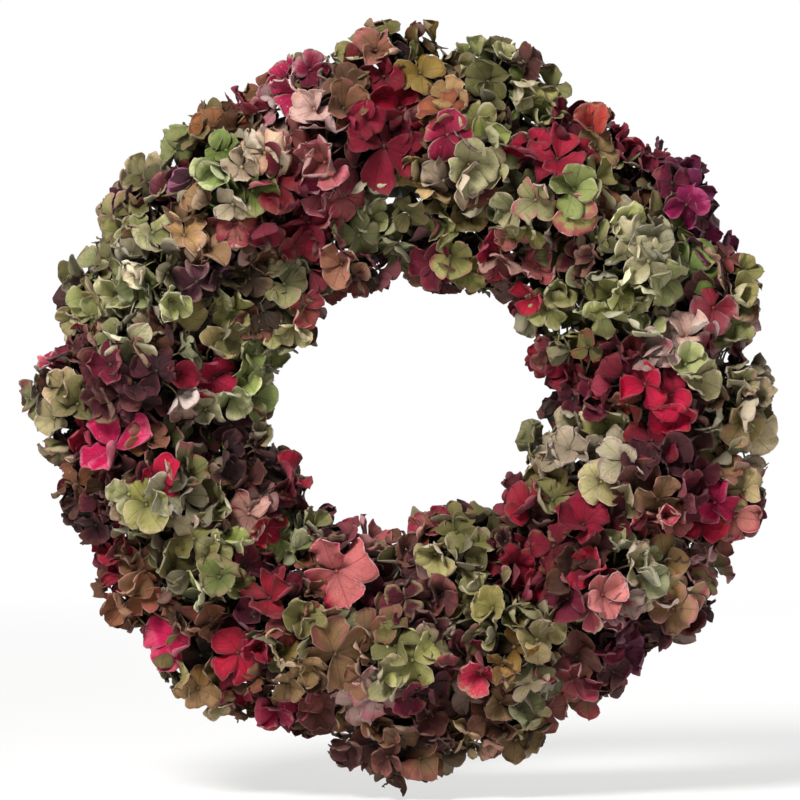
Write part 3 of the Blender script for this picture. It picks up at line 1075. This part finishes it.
def add_florets(b, idx, rng, grid, thick):
    """Adds the florets idx to b, each as 3 to 5 sepals around a bud on its own stalk."""
    p, n = fl_p[idx], fl_n[idx]
    layer, size, pal = fl_layer[idx], fl_size[idx], fl_pal[idx]
    s = len(idx)
    spread = np.where(layer == 0, 0.52, np.where(layer == 1, 0.86, 0.7))
    spread = np.where(size > 1.3, 0.22, spread)
    x, y, z = turn_frame(n, rng, spread)
    count = rng.choice([3, 4, 4, 4, 4, 4, 4, 4, 4, 5], size=s)
    count = np.where(layer == 0, 4, count)
    names = np.array(PAL_NAMES)[pal]
    star = names == "goldstar"
    # some florets lie open, some stand up like a cup, some are bent back
    way = rng.uniform(0, 1, s)
    open_ = np.where(way < 0.28, rng.normal(0.16, 0.14, s), np.where(way < 0.76, rng.normal(0.62, 0.22, s), rng.normal(-0.05, 0.18, s)))
    open_ = np.where(size > 1.3, np.minimum(open_, 0.3), open_)
    curl = np.where(way < 0.28, rng.normal(0.05, 0.5, s), np.where(way < 0.76, rng.normal(-0.25, 0.55, s), rng.normal(-0.4, 0.4, s)))
    base_len = np.where(layer == 0, 14.6, 12.9) * (0.15 + 0.85 * size) * rng.uniform(0.80, 1.10, s)
    base_len = np.where(size > 1.3, base_len * 1.12, base_len)
    rows = []
    for k in range(5):
        for i in np.nonzero(count > k)[0]:
            rows.append((i, k))
    rows = np.array(rows)
    i, k = rows[:, 0], rows[:, 1]
    m = len(rows)
    ang = 2 * math.pi * k / count[i] + rng.normal(0, 0.09, m)
    ax = x[i] * np.cos(ang)[:, None] + y[i] * np.sin(ang)[:, None]
    ay = -x[i] * np.sin(ang)[:, None] + y[i] * np.cos(ang)[:, None]
    hand = rng.choice([-1.0, 1.0], s)[i]
    upper = (k % 2 == 0)
    big = size[i] > 1.25
    length = base_len[i] * rng.uniform(0.88, 1.1, m)
    aspect = rng.uniform(0.50, 0.64, m)
    par = dict(
        length=length,
        width=length * np.where(star[i], 0.34, aspect),
        low=rng.uniform(0.66, 1.12, m),
        blunt=np.where(star[i], 0.8, np.where(big, rng.uniform(0.22, 0.4, m), rng.uniform(0.3, 0.7, m))),
        point=np.clip(rng.normal(0.7, 0.8, m), -0.4, 2.2) * length / 16.0,
        lobe=np.where(star[i], 0.16, rng.uniform(0.01, 0.075, m)),
        lift=open_[i] + rng.normal(0, 0.27, m) + np.where(upper, 0.10, -0.04),
        bend=curl[i] + rng.normal(0, 0.38, m),
        hook=rng.normal(0.0, 0.55, m),
        cup=rng.normal(0.35, 0.55, m),
        fold=rng.normal(0.04, 0.22, m),
        wave=rng.uniform(0.4, 2.1, m) * length / 17.0,
        freq=rng.uniform(0.9, 2.4, m),
        crumple=rng.uniform(0.2, 0.72, m) * np.where(big, 1.4, 1.0),
        knum=rng.uniform(2.0, 10.0, (m, 3, 2)) * rng.choice([-1, 1], (m, 3, 2)),
        ph=rng.uniform(0, 1, (m, 6)),
        twist=rng.normal(0, 0.30, m),
        roll=hand * rng.uniform(0.08, 0.24, m),
        sway=rng.normal(0, 1.6, m),
        start=np.full(m, 0.7),
        rise=np.where(upper, 0.35, 0.0) + 0.1 * k,
        seed=rng.uniform(0, 9.0, m),
        age=np.clip(rng.normal(0.28, 0.28, s), 0, 1)[i] * rng.uniform(0.5, 1.4, m),
        dark=np.where(layer[i] == 2, 0.25, 0.0) + rng.uniform(0.0, 0.12, m),
        edge=(rng.normal(0, 0.22, s))[i] + rng.normal(0, 0.1, m),
    )
    par["lift"] = np.clip(par["lift"], -0.35, 1.05)
    par["bend"] = np.clip(par["bend"], -1.1, 1.2)
    # colour of each floret: its palette, pulled a little towards another, with its own strength
    c = PAL[pal].copy()
    other = PAL[rng.permutation(pal)] if s > 1 else c
    pull = np.clip(rng.normal(0.02, 0.07, s), 0, 0.22)[:, None, None]
    c = c * (1 - pull) + other * pull
    c *= np.exp(np.clip(rng.normal(0, 0.20, s), -0.6, 0.28))[:, None, None] * np.where(layer == 0, 1.12, 0.72)[:, None, None]
    c *= np.exp(rng.normal(0, 0.04, (s, 1, 3)))
    # the margin often carries another colour of the same part of the wreath
    blush = np.clip(rng.normal(0.16, 0.28, s), 0, 0.8)[:, None]
    c[:, 1] = c[:, 1] * (1 - blush) + other[:, 1] * blush
    cs = c[i] * np.exp(rng.normal(0, 0.08, m))[:, None, None]
    cs = np.clip(cs, 0.003, 0.9)
    # keep every floret off the door and out of the hanging ring's space
    P = sepals_points_only(p[i], ax, ay, z[i], par)
    low = np.full(s, 1e9)
    np.minimum.at(low, i, P[..., 2].reshape(m, -1).min(axis=1))
    p = p + np.maximum(0, 1.2 - low)[:, None] * FRONT
    low_shift = np.maximum(0, 1.2 - low)
    P = P + (low_shift[i] * 1.0)[:, None, None, None] * FRONT
    # and none stands further out in front than the heads do
    high = np.full(s, -1e9)
    np.maximum.at(high, i, P[..., 2].reshape(m, -1).max(axis=1))
    sink = -np.maximum(0, high - np.where(size > 1.3, 93.0, 89.0))
    p = p + sink[:, None] * FRONT
    P = P + sink[i][:, None, None, None] * FRONT
    zone = (np.abs(P[..., 0]) < 16.5) & (P[..., 1] > 166) & (P[..., 1] < 208) & (P[..., 2] < 11.0)
    need = np.where(zone, 11.0 - P[..., 2], 0).reshape(m, -1).max(axis=1)
    push = np.zeros(s)
    np.maximum.at(push, i, need)
    p = p + push[:, None] * FRONT
    sepals(b, p[i], ax, ay, z[i], par, cs, *grid, thick)
    # bud and stalk
    for q in range(s):
        d = 0.5 if layer[q] == 2 else 0.15
        tone = c[q, 2] * 0.8 + np.array([0.02, 0.025, 0.01])
        bead_attrs = dict(
            pu=np.array([0.9, 0.5, 1.0]), ca=tone, cb=tone * 1.5, cc=tone * 0.6, cd=tone * 1.3, sh=np.array([0.1, d, 0.0])
        )
        bead(b, p[q] + z[q] * 0.7, x[q], y[q], z[q], 1.15 * (0.8 + 0.2 * size[q]), 0, bead_attrs)
    return p, z


def sepals_points_only(o, ax, ay, az, par):
    """A coarse version of the sheets, only to see where they reach."""
    s = len(o)
    u = np.linspace(0, 1, 6)[None, :, None]
    alpha = col(par["lift"]) + col(par["bend"]) * u ** 1.2
    ds = col(par["length"]) / 5.0
    r = np.cumsum(np.cos(alpha) * ds, axis=1) - np.cos(alpha) * ds + col(par["start"])
    h = np.cumsum(np.sin(alpha) * ds, axis=1) - np.sin(alpha) * ds
    out = []
    for v in (-1.0, 0.0, 1.0):
        w = col(par["width"]) * v * np.sin(math.pi * np.clip(u, 0.05, 0.93) ** 0.8)
        k = col(par["cup"])
        up = np.abs(w) * 0.5 * k + np.abs(v) * col(par["wave"])
        X = r - np.sin(alpha) * up
        Z = h + np.cos(alpha) * up
        out.append(
            o[:, None, None, :]
            + X[..., None] * ax[:, None, None, :]
            + w[..., None] * ay[:, None, None, :]
            + Z[..., None] * az[:, None, None, :]
        )
    return np.concatenate(out, axis=2)


STALK_ATTRS = dict(pu=np.zeros(3), ca=np.zeros(3), cb=np.zeros(3), cc=np.zeros(3), cd=np.zeros(3), sh=np.zeros(3))


def bezier(a, b, c, k):
    t = np.linspace(0, 1, k)[:, None]
    return (1 - t) ** 2 * a + 2 * t * (1 - t) * b + t**2 * c


def build_head(g):
    h = heads[g]
    rng = np.random.default_rng(7000 + g)
    b = Builder()
    idx = np.nonzero(fl_head == g)[0]
    top = idx[fl_layer[idx] < 2]
    deep = idx[fl_layer[idx] == 2]
    fine, coarse = (((11, 9), (8, 6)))
    ends = []
    if len(top):
        ends.append(add_florets(b, top, rng, fine, 0.30))
    if len(deep):
        ends.append(add_florets(b, deep, rng, coarse, 0.30))
    # the head's own branching: a few branches from the stem, and a stalk to each floret
    out = unit(h["centre"] - h["root"])
    start = h["root"] + out * (MOSS_R + 7)
    hubs = []
    for q in range(6):
        way = unit(out + 0.9 * rng.normal(size=3))
        end = start + way * rng.uniform(9, 15)
        if tube_distance(end) < MOSS_R + 4 or end[2] < 4:
            end = start + out * 10 + rng.normal(size=3) * 2
        hubs.append(end)
        tube(b, bezier(start - out * 2, (start + end) / 2 + out * 2, end, 5), np.linspace(1.5, 0.9, 5), 7, 1, STALK_ATTRS)
    hubs = np.array(hubs)
    for p, z in ends:
        for a, n in zip(p, z):
            hub = hubs[np.argmin(((hubs - a) ** 2).sum(axis=1))]
            pts = bezier(a - n * 0.3, a - n * min(11.0, 0.55 * np.linalg.norm(a - hub) + 2), hub, 7)
            pts[:, 2] = np.maximum(pts[:, 2], 2.0)
            if h["node"] == "outer_bloom_01":
                inside = (np.abs(pts[:, 0]) < 16) & (pts[:, 1] > 168)
                pts[:, 2] = np.where(inside, np.maximum(pts[:, 2], 13.0), pts[:, 2])
            tube(b, pts, np.linspace(0.5, 0.75, 7), 5, 1, STALK_ATTRS)
    ob = b.build(h["node"] + "_florets", [PETAL, STALK], floor=0.45)
    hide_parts(h["node"])
    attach(ob, "wreath")
    return ob


faces_total = 0
for g in range(len(heads)):
    ob = build_head(g)
    faces_total += len(ob.data.polygons)
print("head faces", faces_total)


# ---------------------------------------------------------------------------
# Straw ring: stalks laid along the ring over a rough tube, pinched in by the
# twine, flat at the back.
# ---------------------------------------------------------------------------
TURNS = 20


def pinch(theta):
    """1 in a waist, 0 between waists."""
    step = 2 * math.pi / TURNS
    d = np.abs((theta + step / 2) % step - step / 2)
    return 1 - smooth(math.radians(0.5), math.radians(2.6), d)


def profile_path(r, back):
    """Length of the D-shaped outline of radius r cut at height back, and a function from 0..1 to (across, high, outward)."""
    drop = TUBE_H - back
    dip = math.asin(min(1.0, drop / r))
    half = math.sqrt(max(0.0, r * r - drop * drop))
    arc = r * (math.pi + 2 * dip)
    total = arc + 2 * half

    def at(s):
        s = (np.asarray(s) % 1.0) * total
        on = s < arc
        f = -dip + np.minimum(s, arc) / r
        x = np.where(on, r * np.cos(f), -half + (s - arc))
        y = np.where(on, r * np.sin(f), -drop)
        nx = np.where(on, np.cos(f), 0.0)
        ny = np.where(on, np.sin(f), -1.0)
        return x, y, nx, ny

    return total, at


def ring_point(theta, x, y):
    return np.stack([(RING_R + x) * np.cos(theta), (RING_R + x) * np.sin(theta), TUBE_H + y], axis=-1)


def torus_shell(b, r, back, nt, ns, bump, mat, attrs, inner=None):
    """Closed tube of D-shaped section around the ring, with a displacement bump(theta, s)."""
    total, at = profile_path(r, back)
    th = np.linspace(0, 2 * math.pi, nt, endpoint=False)
    s = np.linspace(0, 1, ns, endpoint=False)
    T, S = np.meshgrid(th, s, indexing="ij")
    x, y, nx, ny = at(S)
    d = bump(T, S, ny)
    v = ring_point(T, x + nx * d, y + ny * d).reshape(-1, 3)
    i, j = np.meshgrid(np.arange(nt), np.arange(ns), indexing="ij")
    i, j = i.ravel(), j.ravel()
    i2, j2 = (i + 1) % nt, (j + 1) % ns
    f = np.stack([i * ns + j, i * ns + j2, i2 * ns + j2, i2 * ns + j], axis=1)[:, ::-1]
    cells = 16
    first = b.take_cells(cells)
    cell = first + (i * cells) // nt
    lu = (i * cells / nt) % 1.0
    du = cells / nt
    uvs = np.stack([
        np.stack([cell, lu, j / ns], axis=1),
        np.stack([cell, lu, (j + 1) / ns], axis=1),
        np.stack([cell, lu + du, (j + 1) / ns], axis=1),
        np.stack([cell, lu + du, j / ns], axis=1),
    ], axis=1)[:, ::-1]
    b.add(v, f, uvs, True, mat, attrs)


def build_straw():
    rng = np.random.default_rng(311)
    b = Builder()
    ph = rng.uniform(0, 2 * math.pi, 12)

    def rough(T, S, ny):
        d = 0.25 * np.sin(9 * T + ph[0] + 12 * S) + 0.2 * np.sin(40 * S * math.pi + 3 * np.sin(5 * T + ph[1]))
        return d - 1.6 * pinch(T) * (ny > -0.99)

    torus_shell(b, 22.3, 1.3, 360, 48, rough, 0, dict(pu=np.array([0.0, 0.0, 0.5])))
    total, at = profile_path(23.3, 0.75)
    n = 1050
    for q in range(n):
        # more stalks on the open back than under the moss
        s0 = rng.uniform(0.70, 1.0) if q % 2 else (q + rng.uniform(-0.4, 0.4)) / n * 5 % 1.0
        th0 = rng.uniform(0, 2 * math.pi)
        span = math.radians(rng.uniform(30, 75))
        k = max(6, int(span / math.radians(3.2)))
        t = np.linspace(0, 1, k)
        th = th0 + span * t
        s = s0 + rng.normal(0, 0.012) * t + 0.006 * np.sin(6 * t + rng.uniform(0, 6))
        x, y, nx, ny = at(s)
        d = rng.uniform(-0.7, 0.35) - 1.9 * pinch(th) * (ny > -0.99)
        flat = ny < -0.9
        d = np.where(flat, rng.uniform(-0.5, -0.02) - 1.1 * pinch(th), d)
        rad = rng.uniform(0.55, 0.95)
        pts = ring_point(th, x + nx * d, y + ny * d)
        pts[:, 2] = np.maximum(pts[:, 2], rad + 0.05)
        w = np.full(k, rad)
        w[[0, -1]] *= 0.7
        seed = rng.uniform(0, 60)
        tube(b, pts, w, 5, 0, dict(pu=np.array([q * 0.7, seed, seed])), vspan=(0, 1))
    ob = b.build("straw_ring", [STRAW])
    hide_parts("straw_core")
    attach(ob, "wreath")
    return ob


def build_twine():
    """Two-ply jute, wound once around the straw in each waist."""
    rng = np.random.default_rng(77)
    b = Builder()
    total, at = profile_path(23.0, 1.05)
    per_twist = 8
    twists = 40
    k = twists * per_twist
    for turn in range(TURNS):
        th0 = 2 * math.pi * turn / TURNS
        if abs(turn - TURNS / 4) < 0.5:
            continue
        s = np.linspace(0, 1, k + 1)
        sway = math.radians(0.10) * np.sin(2 * math.pi * s * 2 + rng.uniform(0, 6))
        for ply in (0, 1):
            a = 2 * math.pi * twists * s + math.pi * ply
            x, y, nx, ny = at(s)
            off = 0.42 * np.cos(a)
            tang = 0.42 * np.sin(a)
            th = th0 + sway + tang / RING_R
            pts = ring_point(th, x + nx * off, y + ny * off)
            seed = rng.uniform(0, 50)
            tube(b, pts, 0.5, 5, 0, dict(pu=np.array([turn * 1.3, seed, seed])))
    ob = b.build("twine_turns", [TWINE])
    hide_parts("base_twine")
    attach(ob, "wreath")
    return ob


def build_moss():
    """A lumpy sheet of moss over the straw, with tufts standing off it."""
    rng = np.random.default_rng(501)
    b = Builder()
    ph = rng.uniform(0, 2 * math.pi, 20)
    lo = 3.2
    dip_o = math.asin((TUBE_H - lo) / MOSS_R)
    dip_i = math.asin((TUBE_H - lo) / (STRAW_R + 0.5))
    nt, ns = ((720, 54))
    th = np.linspace(0, 2 * math.pi, nt, endpoint=False)

    def lumps(T, F):
        d = np.zeros_like(T)
        for q in range(7):
            kt = round(14 * 1.62 ** q)
            kf = 2.1 * 1.45 ** q
            d += 0.62 ** q * np.sin(kt * T + ph[q] + 1.7 * np.sin(kf * F + ph[q + 7]))
        return d * 0.42

    rows = []
    for q in range(ns):
        f = -dip_o + (math.pi + 2 * dip_o) * q / (ns - 1)
        edge = min(q, ns - 1 - q) / (ns - 1)
        r = MOSS_R - 1.0 + lumps(th, np.full(nt, f)) - 1.6 * (1 - smooth(0.0, 0.06, edge))
        rows.append(ring_point(th, r * np.cos(f), r * np.sin(f)))
    ni = 14
    for q in range(ni):
        f = math.pi + dip_i - (math.pi + 2 * dip_i) * q / (ni - 1)
        r = np.full(nt, STRAW_R + 0.5)
        rows.append(ring_point(th, r * np.cos(f), r * np.sin(f)))
    V = np.stack(rows, axis=1)
    ns2 = V.shape[1]
    i, j = np.meshgrid(np.arange(nt), np.arange(ns2), indexing="ij")
    i, j = i.ravel(), j.ravel()
    i2, j2 = (i + 1) % nt, (j + 1) % ns2
    f = np.stack([i * ns2 + j, i * ns2 + j2, i2 * ns2 + j2, i2 * ns2 + j], axis=1)[:, ::-1]
    cells = 16
    first = b.take_cells(cells)
    cell = first + (i * cells) // nt
    lu = (i * cells / nt) % 1.0
    uvs = np.stack([
        np.stack([cell, lu, j / ns2], axis=1),
        np.stack([cell, lu, (j + 1) / ns2], axis=1),
        np.stack([cell, lu + cells / nt, (j + 1) / ns2], axis=1),
        np.stack([cell, lu + cells / nt, j / ns2], axis=1),
    ], axis=1)[:, ::-1]
    b.add(V.reshape(-1, 3), f, uvs, True, 0, {})
    tufts = 3000
    shared = b.take_cells(4)
    for q in range(tufts):
        t = rng.uniform(0, 2 * math.pi)
        f = rng.uniform(-dip_o + 0.02, math.pi + dip_o - 0.02)
        if q % 3:
            f = -dip_o + 0.01 + abs(rng.normal(0, 0.22)) if q % 2 else math.pi + dip_o - 0.01 - abs(rng.normal(0, 0.22))
        root = ring_point(np.array(t), (MOSS_R - 1.3) * math.cos(f), (MOSS_R - 1.3) * math.sin(f))
        out = np.array([math.cos(f) * math.cos(t), math.cos(f) * math.sin(t), math.sin(f)])
        w = unit(out + rng.normal(size=3) * 0.75)
        w2 = unit(w + rng.normal(size=3) * 0.8)
        ln = rng.uniform(1.2, 3.0)
        pts = bezier(root, root + w * ln * 0.6, root + w * ln * 0.6 + w2 * ln * 0.5, 4)
        pts[:, 2] = np.maximum(pts[:, 2], 1.4)
        tube(b, pts, np.array([0.34, 0.3, 0.22, 0.08]), 3, 0, {}, uvcell=shared + q % 4, vspan=((q // 4 % 40) / 40, (q // 4 % 40 + 1) / 40))
    ob = b.build("moss_sheet", [MOSS])
    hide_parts("moss_bed")
    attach(ob, "wreath")
    return ob


build_straw()
build_twine()
build_moss()


def dress(name, material):
    ob = frame["nodes"][name]
    ob.data.materials.clear()
    ob.data.materials.append(material)
    return ob


for name in ("stems_outer", "stems_crown", "stems_inner"):
    dress(name, STEM)
dress("moss_pins", PIN)
dress("hanger_sling", SLING)
dress("hanging_ring", BRASS)

# ---------------------------------------------------------------------------
# Stage: pale floor, soft light, camera straight in front
# ---------------------------------------------------------------------------
SHOWN = [[float(c) for c in v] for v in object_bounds()]
scene = bpy.context.scene
floor_z = SHOWN[0][2] - 0.001
fm = bpy.data.meshes.new("floor")
e = 14.0
fm.from_pydata([(-e, -e, floor_z), (e, -e, floor_z), (e, e, floor_z), (-e, e, floor_z)], [], [(0, 1, 2, 3)])
floor = bpy.data.objects.new("floor", fm)
scene.collection.objects.link(floor)
m, nt = new_material("pale_floor")
tc = nt.nodes.new("ShaderNodeTexCoord")
dust = noise(nt, tc.outputs["Object"], 9.0, 3.0).outputs["Fac"]
finish_material(nt, mix_col(nt, math_node(nt, "MULTIPLY", dust, 0.2), (0.93, 0.93, 0.925), (0.90, 0.90, 0.895)), 0.85, spec=0.1)
base_shader = next(n for n in nt.nodes if n.type == "BSDF_PRINCIPLED")
lit = nt.nodes.new("ShaderNodeEmission")
lit.inputs["Color"].default_value = (1.0, 1.0, 1.0, 1)
lp = nt.nodes.new("ShaderNodeLightPath")
both = nt.nodes.new("ShaderNodeMixShader")
length = nt.nodes.new("ShaderNodeVectorMath")
length.operation = "LENGTH"
nt.links.new(tc.outputs["Object"], length.inputs[0])
share = ramp(nt, length.outputs["Value"], 0.25, 2.6, 0.55, 1.0)
nt.links.new(math_node(nt, "MULTIPLY", lp.outputs["Is Camera Ray"], share), both.inputs[0])
nt.links.new(base_shader.outputs[0], both.inputs[1])
nt.links.new(lit.outputs[0], both.inputs[2])
nt.links.new(both.outputs[0], next(n for n in nt.nodes if n.type == "OUTPUT_MATERIAL").inputs[0])
fm.materials.append(m)

w = bpy.data.worlds.new("soft_studio")
scene.world = w
w.use_nodes = True
wn = w.node_tree
wn.nodes.clear()
seen = wn.nodes.new("ShaderNodeBackground")
seen.inputs["Color"].default_value = (1.0, 1.0, 1.0, 1)
seen.inputs["Strength"].default_value = 1.0
fill = wn.nodes.new("ShaderNodeBackground")
fill.inputs["Color"].default_value = (1.0, 0.985, 0.96, 1)
fill.inputs["Strength"].default_value = 0.08
path = wn.nodes.new("ShaderNodeLightPath")
mx = wn.nodes.new("ShaderNodeMixShader")
wn.links.new(path.outputs["Is Camera Ray"], mx.inputs[0])
wn.links.new(fill.outputs[0], mx.inputs[1])
wn.links.new(seen.outputs[0], mx.inputs[2])
wo = wn.nodes.new("ShaderNodeOutputWorld")
wn.links.new(mx.outputs[0], wo.inputs[0])


def area(name, loc, aim, size, watts, colour):
    d = bpy.data.lights.new(name, "AREA")
    d.shape = "DISK"
    d.size = size
    d.energy = watts
    d.color = colour
    o = bpy.data.objects.new(name, d)
    o.location = loc
    way = np.array(aim) - np.array(loc)
    from mathutils import Vector

    o.rotation_euler = Vector(way).to_track_quat("-Z", "Y").to_euler()
    scene.collection.objects.link(o)
    return o


area("key", (-0.9, -1.7, 1.5), (0, 0, 0.0), 0.8, 86.0, (1.0, 0.985, 0.97))
area("fill", (1.5, -1.8, 0.2), (0, 0, 0), 1.4, 6.0, (0.96, 0.98, 1.0))
area("rear", (0.9, 1.8, 1.2), (0, 0, 0), 1.4, 32.0, (1.0, 1.0, 1.0))

cam_data = bpy.data.cameras.new("camera")
cam = bpy.data.objects.new("camera", cam_data)
DIST = 2.3
cam.location = (0.0, CAD_BOX[0][1] * 0.0 - DIST, 0.0)
cam.rotation_euler = (math.radians(90), 0, 0)
cam_data.sensor_width = 36.0
cam_data.lens = 36.0 * (DIST + 0.005) / 0.448
cam_data.clip_start = 0.05
cam_data.clip_end = 60
scene.collection.objects.link(cam)
scene.camera = cam
scene.view_settings.view_transform = "Standard"
scene.view_settings.look = "None"
